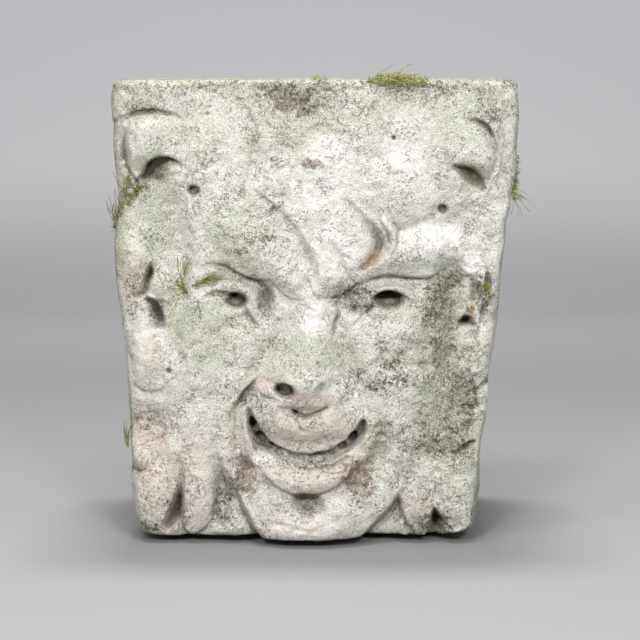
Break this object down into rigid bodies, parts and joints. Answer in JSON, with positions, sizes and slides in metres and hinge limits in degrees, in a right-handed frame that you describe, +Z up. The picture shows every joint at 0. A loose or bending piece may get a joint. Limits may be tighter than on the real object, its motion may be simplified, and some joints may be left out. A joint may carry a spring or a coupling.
{
  "type": "stone corbel",
  "caption": "Weathered limestone corbel: a tapering block with a plain tail for the wall and a front carved as a grinning mask with curled horns, ears and leaf lobes.",
  "frame": {"origin": "middle of the plain flat back face, which is the wall mount", "axes": "+X to the viewer's right, -Y out of the wall through the carved face, +Y into the wall, +Z up"},
  "size_m": [0.2663, 0.1996, 0.3],
  "materials": {
    "limestone": "coarse weathered limestone, light grey to cream, with green algae, dark dirt and pinkish stains"
  },
  "bodies": {
    "root": {"corbel": "limestone"}
  },
  "joints": []
}
